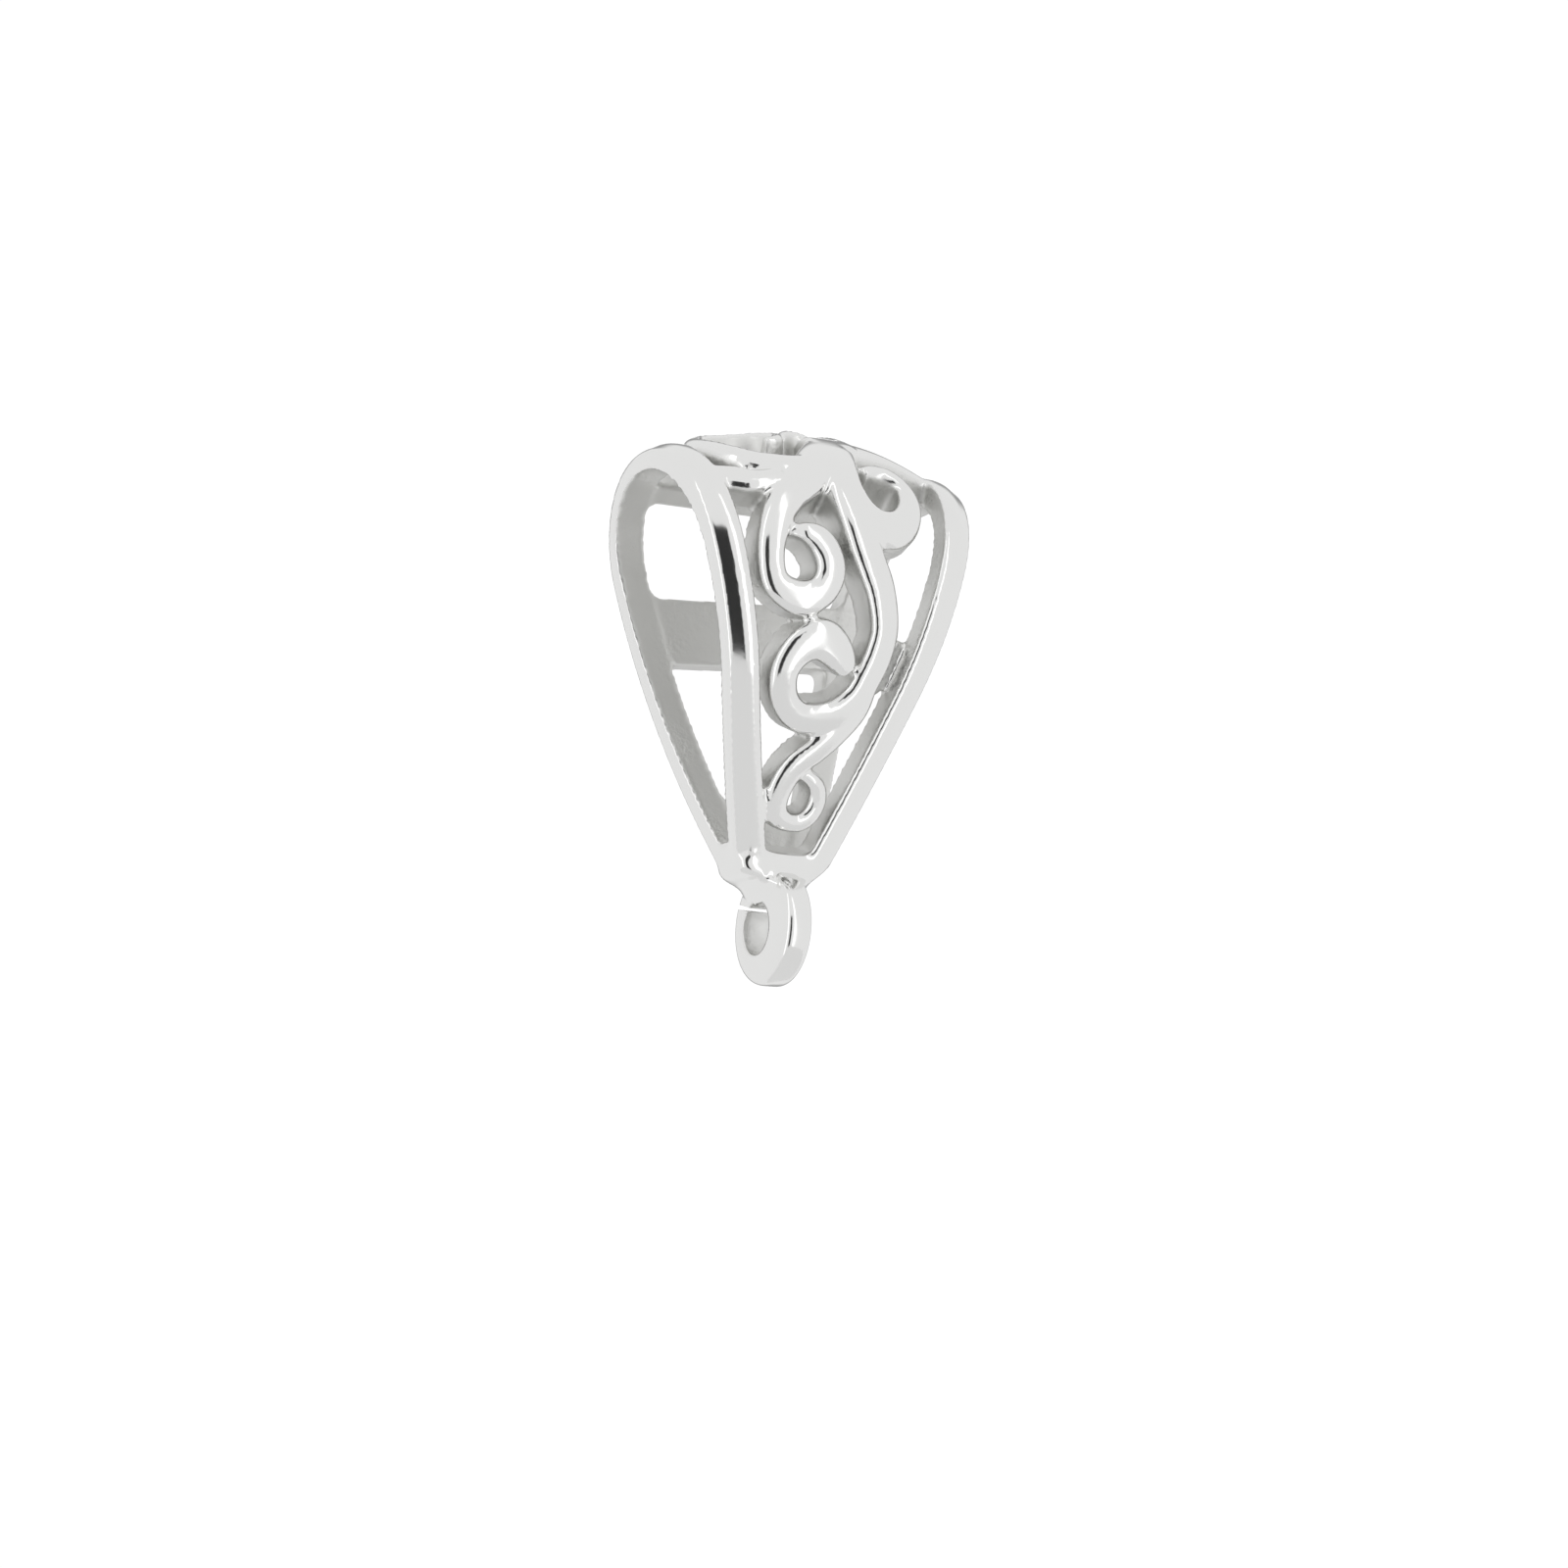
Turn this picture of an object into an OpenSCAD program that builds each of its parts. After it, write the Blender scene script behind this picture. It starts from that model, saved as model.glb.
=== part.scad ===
// Filigree pendant bail: one cast loop of tapering strap with an open ring under its foot.
// X runs across the strap, -Y is the front, +Z is up. The origin is inside the top of the
// arch, where a chain carries the bail.

/* [Side shape] */
// Radius of the arch, on the middle of the wall
arch_r = 3; // [2:0.05:4]
// Height from the arch centre down to the foot
leg_h = 8.23; // [6.5:0.01:11]
// Radius of the bend of the front leg under the arch
front_r = 7.4; // [6:0.05:11]
// Lean of the straight lower part of the front leg, in degrees
front_lean = 28.8; // [24:0.2:31]
// Radius of the bend of the back leg
back_r = 22; // [14:0.1:26]
// Thickness of the wall all round
wall_t = 0.82; // [0.6:0.02:1]

/* [Width] */
// Width of the strap over the crest
crest_w = 9.6; // [8.6:0.1:11]
// Width that the strap loses for each millimetre of height
taper = 0.585; // [0.45:0.005:0.65]
// How far each edge bows out halfway down
bulge = 0.22; // [0:0.01:0.4]
// Width of the rail along the left edge
rail_left = 0.94; // [0.7:0.02:1.3]
// Width of the rail along the right edge
rail_right = 0.96; // [0.8:0.02:1.4]

/* [Scrollwork] */
// Plain width of a scroll
scroll_w = 0.85; // [0.65:0.01:0.95]
// Radius of the crown that the scrollwork has across its width
crown_r = 9.6; // [7:0.1:20]
// How far the crest loops stand above that crown
crest_lift = 0.25; // [0:0.01:0.4]
// Height of the foot, from its level up to where the legs part
crotch = 0.5; // [0.4:0.05:1.4]
// Rounding of the foot's upright corners
foot_round = 0.24; // [0.1:0.02:0.35]
// Depth of the bar between the rails at the front foot
foot_bar = 0.63; // [0.4:0.01:1]
// Height of the solid back above the foot
foot_web = 1.8; // [1:0.1:3]

/* [Back windows] */
// Way from the crest to the top of the upper window
window_top = 1.9; // [1.5:0.1:2.5]
// Height of the upper window
window_h = 2.95; // [2:0.05:3.5]
// Height of the bar between the windows
crossbar_h = 2.15; // [1.2:0.05:2.5]
// Depth of the bar over the upper window
top_bar = 0.85; // [0.5:0.05:1.2]
// Radius of the window corners
corner_r = 0.35; // [0.2:0.05:0.6]

/* [Ring] */
// Bore of the ring
ring_bore = 1.62; // [1.2:0.02:2]
// How far the bore lies behind the middle of the ring
bore_back = 0.25; // [0:0.01:0.35]
// Thickness of the ring's wire, measured outwards
wire_t = 0.87; // [0.6:0.01:1]
// Width of the ring's wire, along the bore
wire_w = 0.92; // [0.7:0.02:1.2]
// Depth of the ring's centre under the foot
ring_drop = 1.83; // [1.6:0.01:2.2]
// How far the ring sits behind the arch centre
ring_back = 0.9; // [0.3:0.05:1]
// Width of the slit that lets the ring open
slit_w = 0.12; // [0.06:0.01:0.2]
// Height of the slit over the ring's centre
slit_rise = 0.49; // [0:0.01:0.7]
// Slope of the slit, up to the back, in degrees
slit_angle = 13.5; // [0:0.5:30]

/* [Hidden] */

seat_z = arch_r - wall_t / 2;          // underside of the arch over its centre
arch_len = arch_r * PI / 2;            // crest to the end of the arch, along the wall
bend_len = front_r * front_lean * PI / 180;
bend_drop = front_r * sin(front_lean);
straight_len = (leg_h - bend_drop) / cos(front_lean);
front_len = arch_len + bend_len + straight_len;
back_turn = asin(leg_h / back_r);
back_len = arch_len + back_r * back_turn * PI / 180;
window_len = front_len - foot_bar;     // crest to the lower end of the pierced front
foot_half = (crest_w - taper * (arch_r + leg_h)) / 2;
ring_r = ring_bore / 2 + wire_t;

// Middle of the wall at the way s from the crest, positive to the front: [y, z, normal y, normal z]
function arch_at(s) = let(a = s / arch_r * 180 / PI) [-arch_r * sin(a), arch_r * cos(a), -sin(a), cos(a)];
function bend_at(s) = let(a = (s - arch_len) / front_r * 180 / PI)
    [-arch_r + front_r * (1 - cos(a)), -front_r * sin(a), -cos(a), -sin(a)];
function straight_at(s) = let(v = s - arch_len - bend_len, c = cos(front_lean), d = sin(front_lean))
    [-arch_r + front_r * (1 - c) + v * d, -bend_drop - v * c, -c, -d];
function back_at(s) = let(a = (-s - arch_len) / back_r * 180 / PI)
    [arch_r - back_r * (1 - cos(a)), -back_r * sin(a), cos(a), -sin(a)];
function wall_at(s) = s < -arch_len ? back_at(s)
    : s < arch_len ? arch_at(s)
    : s < arch_len + bend_len ? bend_at(s)
    : straight_at(s);

// Half of the strap's width, and the inner edges of its rails, at the way s
function half_at(s) = let(drop = arch_r - wall_at(s)[1], k = drop / (arch_r + leg_h))
    (crest_w - taper * drop) / 2 + 4 * bulge * k * (1 - k);
function left_at(s) = rail_left - half_at(s);
function right_at(s) = half_at(s) - rail_right;

// Height of the crown over the rails: a shallow arc across the width, which dies out behind the crest
function fade(s) = s > 0 ? 1 : max(0, 1 + s / window_top);
function crown_at(x, s) = fade(s) * max(0, (x - left_at(s)) * (right_at(s) - x)) / (2 * crown_r);

// A point of the part from its place across and along the strap and its height over the wall's middle
function place(x, s, n) = let(w = wall_at(s)) [x, w[0] + n * w[2], w[1] + n * w[3]];

// A smooth curve through the rows of a table, with a number of steps from each row to the next
function blend(a, b, c, d, t) = ((2 * b) + (c - a) * t + (2 * a - 5 * b + 4 * c - d) * t * t
    + (3 * b - a - 3 * c + d) * t * t * t) / 2;
function smooth(rows, steps) = let(n = len(rows))
    [for (i = [0 : (n - 1) * steps]) let(k = min(n - 2, floor(i / steps)), t = i / steps - k)
        blend(rows[max(k - 1, 0)], rows[k], rows[k + 1], rows[min(k + 2, n - 1)], t)];

// The scrolls are drawn as rows of [share of half of the strap's width,
// share of the pierced length, share of scroll_w]

// Scroll A: from the node down to the left, and round to the right
SCROLL_A = [[0.07, 0.107, 1.5], [-0.07, 0.16, 1.5], [-0.22, 0.213, 1.4], [-0.4, 0.263, 1.24],
    [-0.53, 0.324, 1.1], [-0.59, 0.389, 0.97], [-0.55, 0.442, 1], [-0.38, 0.466, 1.15], [-0.22, 0.449, 1.1],
    [-0.15, 0.411, 1.15], [-0.17, 0.373, 1.08], [-0.24, 0.347, 0.92], [-0.34, 0.335, 0.6], [-0.42, 0.331, 0.35]];
// Scroll B: the long S from the node down the right side, and round under scroll A
SCROLL_B = [[0.08, 0.1, 1.5], [0.03, 0.168, 1.4], [0, 0.24, 1.24], [0.08, 0.32, 1.24], [0.18, 0.377, 1.24],
    [0.29, 0.43, 1.2], [0.38, 0.503, 1.15], [0.39, 0.56, 1.18], [0.35, 0.61, 1.18], [0.29, 0.66, 1.18],
    [0.12, 0.697, 1.18], [-0.11, 0.712, 1.18], [-0.3, 0.707, 1.12], [-0.43, 0.677, 1.04], [-0.47, 0.632, 1.04],
    [-0.44, 0.594, 1.12], [-0.33, 0.56, 1.25], [-0.18, 0.542, 1.4], [-0.05, 0.557, 1.3], [0.06, 0.582, 1.05],
    [0.11, 0.604, 0.65]];
// Scroll C: from the node to the right rail, and back in
SCROLL_C = [[0.11, 0.137, 1.3], [0.08, 0.198, 1.12], [0.085, 0.24, 1.08], [0.14, 0.278, 1.12], [0.23, 0.303, 1.2],
    [0.33, 0.309, 1.24], [0.42, 0.297, 1.18], [0.48, 0.27, 1.06], [0.5, 0.236, 0.94], [0.46, 0.206, 0.76],
    [0.38, 0.19, 0.6], [0.29, 0.19, 0.47], [0.21, 0.202, 0.35]];
// Scroll D: from the bottom of scroll B down to the left, and round to the right
SCROLL_D = [[0.34, 0.674, 1.06], [0.22, 0.731, 1.04], [0.03, 0.781, 1], [-0.17, 0.819, 0.96], [-0.3, 0.861, 0.96],
    [-0.36, 0.903, 0.9], [-0.31, 0.936, 0.82], [-0.16, 0.948, 0.73], [0.05, 0.948, 0.7], [0.21, 0.928, 0.73],
    [0.24, 0.895, 0.73], [0.18, 0.865, 0.66], [0.04, 0.846, 0.53], [-0.09, 0.842, 0.4]];
// Band: from the left of the node to the crest of the right rail
BAND_RIGHT = [[-0.05, 0.123, 1.7], [0.13, 0.101, 1.4], [0.36, 0.086, 1.12], [0.61, 0.074, 1], [0.88, 0.062, 1.3]];
// Bud: a leaf from the left rail to scroll A, under the left loop
BUD_LEFT = [[-0.82, 0.206, 0.94], [-0.7, 0.217, 0.88], [-0.61, 0.229, 0.82], [-0.51, 0.229, 0.7], [-0.42, 0.221, 0.6]];
// Left loop: from the node to the left rail, over the crest and back in
LOOP_LEFT = [[0.09, 0.145, 1.12], [-0.09, 0.171, 1.06], [-0.24, 0.179, 1], [-0.39, 0.179, 1.06],
    [-0.56, 0.164, 1.06], [-0.68, 0.122, 1], [-0.73, 0.057, 0.87], [-0.67, 0.008, 0.77], [-0.52, -0.019, 0.7],
    [-0.35, -0.019, 0.7], [-0.24, 0, 0.6], [-0.19, 0.03, 0.5], [-0.23, 0.057, 0.42], [-0.31, 0.061, 0.3]];
// Small loop beside it, over the node
LOOP_SMALL = [[0.12, 0.122, 1.1], [0.08, 0.066, 0.87], [0.1, 0.015, 0.68], [0.06, -0.019, 0.62],
    [-0.03, -0.023, 0.62], [-0.1, 0, 0.55], [-0.12, 0.034, 0.5], [-0.05, 0.057, 0.4], [0.01, 0.046, 0.25]];

// Round dots along the scrolls: [x, s, radius]
function dots(rows) = [for (r = smooth(rows, DOTS)) let(s = r[1] * window_len)
    [r[0] * half_at(s), s, r[2] * scroll_w / 2]];
DOTS = 4;
flat_dots = [for (rows = [SCROLL_A, SCROLL_B, SCROLL_C, SCROLL_D, BAND_RIGHT, BUD_LEFT]) each dots(rows)];
loop_dots = [for (rows = [LOOP_LEFT, LOOP_SMALL]) each dots(rows)];

// How deep a place lies inside a set of dots, below 0 outside them
function depth_in(set, x, s) = -min([for (p = set) norm([x - p[0], s - p[1]]) - p[2]]);

// How deep a place lies outside a window with round corners, from s1 down to s2
function depth_out(x, s, s1, s2) = let(a = left_at(s), b = right_at(s),
        q = [abs(x - (a + b) / 2) - (b - a) / 2 + corner_r, abs(s - (s1 + s2) / 2) - (s1 - s2) / 2 + corner_r])
    norm([max(q[0], 0), max(q[1], 0)]) + min(max(q[0], q[1]), 0) - corner_r;
web_len = arch_len + back_r * asin((leg_h - foot_web) / back_r) * PI / 180;
function plate_depth(x, s) = let(w1 = -window_top - window_h, w2 = w1 - crossbar_h)
    min(depth_out(x, s, -window_top, w1), depth_out(x, s, w2, -web_len), -(s + window_top - top_bar));

// What is at a place between the rails: [depth inside the metal, height of the top over the wall's base]
function round_top(d) = let(r = 0.4 * scroll_w, k = 1 - min(max(d, 0) / r, 1))
    wall_t * (0.12 + 0.38 * sqrt(1 - k * k));
function metal_at(x, s) = s < -window_top + top_bar / 2
    ? let(d = plate_depth(x, s)) [d, wall_t / 2]
    : let(d = depth_in(flat_dots, x, s), e = depth_in(loop_dots, x, s), b = plate_depth(x, s),
        f = s - window_len)
        [max(d, e, b, f), max(round_top(d), e > 0 ? round_top(e) + crest_lift : 0, round_top(b), round_top(f))];

// The grid of the strap: columns from the left edge to the right, rows from the front foot over the
// crest to the back foot. A column is [share of the rail's width from its inner edge, or 0 for between
// the rails, share of the width between the rails, height of the rail there as a share of the wall].
COLUMNS = 28;
RAIL = [[1, 0], [0.9, 0.3], [0.68, 0.48], [0.3, 0.5], [0, 0.32]];
cols = [each [for (r = RAIL) [r[0], -1, r[1]]], each [for (j = [1 : COLUMNS - 1]) [0, 2 * j / COLUMNS - 1, 0]],
    each [for (j = [len(RAIL) - 1 : -1 : 0]) [RAIL[j][0], 1, RAIL[j][1]]]];
FRONT_ROWS = 56;
BACK_ROWS = 26;
front_end = front_len - crotch / cos(front_lean);
back_end = arch_len + back_r * asin((leg_h - crotch) / back_r) * PI / 180;
rows_s = [each [for (i = [0 : FRONT_ROWS - 1]) front_end - i / FRONT_ROWS * (front_end + window_top)],
    each [for (i = [0 : BACK_ROWS]) -window_top - i / BACK_ROWS * (back_end - window_top)]];
n_cols = len(cols);
n_rows = len(rows_s);

// Every crossing of the grid: [x, s, depth inside the metal, top, base]
grid = [for (s = rows_s) let(a = left_at(s), b = right_at(s)) [for (c = cols)
    c[1] == -1 ? [a - c[0] * rail_left, s, 1, c[2] * wall_t, -wall_t / 2]
    : c[1] == 1 ? [b + c[0] * rail_right, s, 1, c[2] * wall_t, -wall_t / 2]
    : let(x = a + (b - a) * (c[1] + 1) / 2, m = metal_at(x, s), h = crown_at(x, s))
        [x, s, m[0], m[1] + h, h - wall_t / 2]]];
function inside(i, j) = grid[i][j][2] > 0;

// The edge of the metal on the way from one crossing of the grid to the next, kept off both
function edge_at(a, b) = let(t = a[2] == b[2] ? 0.5 : min(0.88, max(0.12, a[2] / (a[2] - b[2]))),
        p = a + (b - a) * t, h = crown_at(p[0], p[1]))
    [p[0], p[1], 0, 0.12 * wall_t + h, h - wall_t / 2];
spots = [for (row = grid) each row,
    for (i = [0 : n_rows - 1], j = [0 : n_cols - 1])
        edge_at(grid[i][j], grid[i][min(j + 1, n_cols - 1)]),
    for (i = [0 : n_rows - 1], j = [0 : n_cols - 1])
        edge_at(grid[i][j], grid[min(i + 1, n_rows - 1)][j])];
under = len(spots);
per = n_rows * n_cols;

// The outline of the metal in one cell: [number of the point, 0 inside or 1 where the outline leaves]
function cell(i, j) = let(k = i * n_cols + j,
        c = [inside(i, j), inside(i, j + 1), inside(i + 1, j + 1), inside(i + 1, j)],
        v = [k, k + 1, k + n_cols + 1, k + n_cols],
        e = [per + k, 2 * per + k + 1, per + k + n_cols, 2 * per + k])
    [for (m = [0 : 3]) each [if (c[m]) [v[m], 0], if (c[m] != c[(m + 1) % 4]) [e[m], c[m] ? 1 : 0]]];

// The metal between two crossings of an end row
function end_part(i, j, turned = false) = let(k = i * n_cols + j, a = inside(i, j), b = inside(i, j + 1),
        p = a ? k : per + k, q = b ? k + 1 : per + k)
    !a && !b ? [] : [turned ? [q, p] : [p, q]];

// The strap with its scrollwork and windows, as one closed skin
module strap() {
    tops = [for (i = [0 : n_rows - 2], j = [0 : n_cols - 2]) let(c = cell(i, j), n = len(c)) if (n > 2)
        each [for (m = [1 : n - 2]) [c[0][0], c[m][0], c[m + 1][0]]]];
    bases = [for (t = tops) [t[0] + under, t[2] + under, t[1] + under]];
    cuts = [for (i = [0 : n_rows - 2], j = [0 : n_cols - 2]) let(c = cell(i, j), n = len(c)) if (n > 2)
        each [for (m = [0 : n - 1]) if (c[m][1] == 1) [c[m][0], c[(m + 1) % n][0]]]];
    sides = [for (i = [0 : n_rows - 2]) each [
        [(i + 1) * n_cols, i * n_cols], [(i + 1) * n_cols - 1, (i + 2) * n_cols - 1]]];
    ends = [for (j = [0 : n_cols - 2]) each concat(end_part(0, j), end_part(n_rows - 1, j, true))];
    walls = [for (e = concat(cuts, sides, ends)) each [
        [e[1], e[0], e[0] + under], [e[1], e[0] + under, e[1] + under]]];
    upper = [for (p = spots) place(p[0], p[1], p[3])];
    lower = [for (p = spots) place(p[0], p[1], p[4])];
    polyhedron(concat(upper, lower), [for (f = concat(tops, bases, walls)) [f[0], f[2], f[1]]]);
}

// The foot where both legs and both rails run together: rounded slabs, each from y1 to y2 at a height
module foot() hull() {
    front = wall_at(front_end);
    back = wall_at(-back_end);
    low1 = wall_at(front_len);
    low2 = wall_at(-back_len);
    skew = wall_t / 2 / cos(front_lean);
    slab(half_at(front_end) - sunk, front[0] - skew, back[0] + skew - sunk * 2, crotch + wall_t / 8);
    slab(foot_half - sunk, low1[0] - skew + sunk, low2[0] + skew - sunk * 2, 0);
    slab(foot_half * 0.8, low1[0] - skew / 2, low2[0] + skew / 2, -wall_t * 0.45);
}
sunk = wall_t / 20;                    // how far the foot lies inside the legs' faces
module slab(half, y1, y2, z) for (k = [0, 1]) let(r = foot_round * k, h = half - r, q = foot_round * (1 - k))
    translate([-h, y1 + q, z - leg_h]) cube([2 * h, y2 - y1 - 2 * q, sunk]);

// The neck from the foot down to the ring
module neck() hull() {
    translate([0, ring_back, -leg_h - wall_t * 0.3]) cube([wire_w * 2.1, ring_r, wall_t * 0.3], center = true);
    translate([0, ring_back, -leg_h - ring_drop + ring_r * 0.72])
        cube([wire_w * 0.9, ring_r * 1.3, wall_t * 0.1], center = true);
}

// Turns what is drawn round Z to lie round an axis across the strap, at or behind the ring's middle
module on_ring(behind = 0) translate([0, ring_back + behind, -leg_h - ring_drop]) rotate([0, 90, 0])
    children();

// The ring before it is bored: a disc whose rim is rounded off in three flats
module ring_disc() on_ring() rotate_extrude($fn = 96) polygon([
    [0, -wire_w / 2], [ring_r - wire_t * 0.55, -wire_w / 2], [ring_r - wire_t * 0.15, -wire_w * 0.37],
    [ring_r, -wire_w * 0.14], [ring_r, wire_w * 0.14], [ring_r - wire_t * 0.15, wire_w * 0.37],
    [ring_r - wire_t * 0.55, wire_w / 2], [0, wire_w / 2]]);

// The bore, with its mouths opened out
module bore() on_ring(bore_back) rotate_extrude($fn = 96) polygon([
    [0, -wire_w], [ring_bore / 2 + wire_w * 0.7, -wire_w], [ring_bore / 2, -wire_w * 0.3],
    [ring_bore / 2, wire_w * 0.3], [ring_bore / 2 + wire_w * 0.7, wire_w], [0, wire_w]]);

// The slit at the back of the ring
module slit() translate([0, ring_back, -leg_h - ring_drop]) rotate([slit_angle, 0, 0])
    translate([-wire_w, 0, slit_rise - slit_w / 2]) cube([2 * wire_w, 2 * ring_r, slit_w]);

module bail() color("silver") translate([0, 0, -seat_z]) difference() {
    union() {
        strap();
        foot();
        neck();
        ring_disc();
    }
    bore();
    slit();
}

bail();
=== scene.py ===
import math

import bpy
import numpy as np
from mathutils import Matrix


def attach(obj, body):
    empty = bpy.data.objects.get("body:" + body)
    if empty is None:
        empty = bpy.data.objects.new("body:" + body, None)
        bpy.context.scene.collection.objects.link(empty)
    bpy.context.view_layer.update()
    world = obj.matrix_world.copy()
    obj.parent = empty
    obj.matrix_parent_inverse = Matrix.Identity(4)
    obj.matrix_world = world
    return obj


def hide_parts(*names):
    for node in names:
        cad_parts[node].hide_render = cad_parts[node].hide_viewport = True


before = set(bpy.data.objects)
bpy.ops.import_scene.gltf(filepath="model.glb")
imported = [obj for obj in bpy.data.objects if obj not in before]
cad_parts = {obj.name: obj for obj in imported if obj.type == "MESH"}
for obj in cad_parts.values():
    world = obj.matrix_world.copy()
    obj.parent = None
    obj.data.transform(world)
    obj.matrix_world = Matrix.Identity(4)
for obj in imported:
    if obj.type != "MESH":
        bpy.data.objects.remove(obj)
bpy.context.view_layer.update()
mm = 0.001

# The strap is one loop of wall. The way s runs along its middle from the crest, positive
# down the front and negative down the back. Lengths are in mm, angles in degrees.
strap = {
    "archRadius": 3.0, "legHeight": 8.23, "frontRadius": 7.4, "frontLean": 28.8,
    "backRadius": 22.0, "wall": 0.82, "crestWidth": 9.6, "taper": 0.585, "bulge": 0.22,
    "railLeft": 0.94, "railRight": 0.96, "crownRadius": 9.6, "windowTop": 1.9,
    "windowHeight": 2.95, "crossbarHeight": 1.95, "topBar": 0.85, "footWeb": 1.8,
    "cornerRadius": 0.35, "barTilt": 0.4,
}
seatZ = strap["archRadius"] - strap["wall"] / 2
footZ = -strap["legHeight"] - seatZ
archLength = strap["archRadius"] * math.pi / 2
bendLength = strap["frontRadius"] * math.radians(strap["frontLean"])
bendDrop = strap["frontRadius"] * math.sin(math.radians(strap["frontLean"]))
frontLength = archLength + bendLength + (strap["legHeight"] - bendDrop) / math.cos(
    math.radians(strap["frontLean"]))
backLength = archLength + strap["backRadius"] * math.asin(strap["legHeight"] / strap["backRadius"])


def wallAt(s):
    # Middle of the wall and its outward normal at the way s: a circle over the top, a wider
    # circle and then a straight line down the front, and one wide circle down the back.
    r, rf, rb = strap["archRadius"], strap["frontRadius"], strap["backRadius"]
    lean = math.radians(strap["frontLean"])
    a = s / r
    b = (s - archLength) / rf
    v = s - archLength - bendLength
    c = (-s - archLength) / rb
    one = np.ones_like(s)
    straight = [-r + rf * (1 - math.cos(lean)) + v * math.sin(lean),
                -bendDrop - v * math.cos(lean), -math.cos(lean) * one, -math.sin(lean) * one]
    bend = [-r + rf * (1 - np.cos(b)), -rf * np.sin(b), -np.cos(b), -np.sin(b)]
    arch = [-r * np.sin(a), r * np.cos(a), -np.sin(a), np.cos(a)]
    back = [r - rb * (1 - np.cos(c)), -rb * np.sin(c), np.cos(c), -np.sin(c)]
    where = [s < -archLength, s < archLength, s < archLength + bendLength]
    return [np.select(where, [back[i], arch[i], bend[i]], straight[i]) for i in range(4)]


def halfAtDrop(drop):
    # Half of the strap's width: it shrinks evenly with the drop from the crest, and a parabola
    # bows each edge out halfway down.
    k = np.clip(drop / (strap["archRadius"] + strap["legHeight"]), 0, 1)
    return (strap["crestWidth"] - strap["taper"] * drop) / 2 + 4 * strap["bulge"] * k * (1 - k)


def halfAt(s):
    # The same at the way s, from the wall's height there.
    return halfAtDrop(strap["archRadius"] - wallAt(s)[1])


def innerAt(s, side):
    # Where the left or right rail's inner edge lies.
    return side * (halfAt(s) - (strap["railRight"] if side > 0 else strap["railLeft"]))


def crownAt(x, s):
    # The scrollwork's crown: a shallow parabola from rail to rail, that dies out behind the crest.
    fade = np.clip(1 + s / strap["windowTop"], 0, 1)
    return fade * np.maximum(0, (x - innerAt(s, -1)) * (innerAt(s, 1) - x)) / (2 * strap["crownRadius"])


def place(x, s, n):
    # Place across, way along and height over the wall's middle, turned into x, y, z in mm
    # with the origin at the chain's seat.
    y, z, ny, nz = wallAt(s)
    return np.stack([x + 0 * y, y + n * ny, z + n * nz - seatZ], -1)


def smoothRows(table, steps):
    # A curve through the rows of a table: each stretch is the cubic that leaves and reaches
    # its rows along the line between their neighbours.
    p = np.array(list(table.values()), float).T
    p = np.vstack([2 * p[0] - p[1], p, 2 * p[-1] - p[-2]])
    t = np.linspace(0, 1, steps, endpoint=False)[:, None, None]
    a, b, c, d = p[:-3], p[1:-2], p[2:-1], p[3:]
    q = 0.5 * (2 * b + (c - a) * t + (2 * a - 5 * b + 4 * c - d) * t ** 2
               + (3 * b - a - 3 * c + d) * t ** 3)
    return np.vstack([q.transpose(1, 0, 2).reshape(-1, p.shape[1]), p[-2:-1]]).T


class Skin:
    # Gathers closed surfaces, each a grid of rings, into one list of points and faces.
    def __init__(self):
        self.points, self.quads, self.caps, self.count = [], [], [], 0

    def add(self, rings):
        # Quads join each ring to the next, and a flat cap closes each end.
        rows, sides = rings.shape[:2]
        index = self.count + np.arange(rows * sides).reshape(rows, sides)
        a, b = index[:-1], index[1:]
        quads = np.stack([a, np.roll(a, -1, 1), np.roll(b, -1, 1), b], -1).reshape(-1, 4)
        self.points.append(rings.reshape(-1, 3))
        self.quads.append(quads)
        self.caps += [index[0][::-1].tolist(), index[-1].tolist()]
        self.count += rows * sides

    def mesh(self, name):
        # The list as one Blender mesh
        made = bpy.data.meshes.new(name)
        faces = np.vstack(self.quads).tolist() + self.caps
        made.from_pydata(np.vstack(self.points).tolist(), [], faces)
        made.update()
        return made


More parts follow.
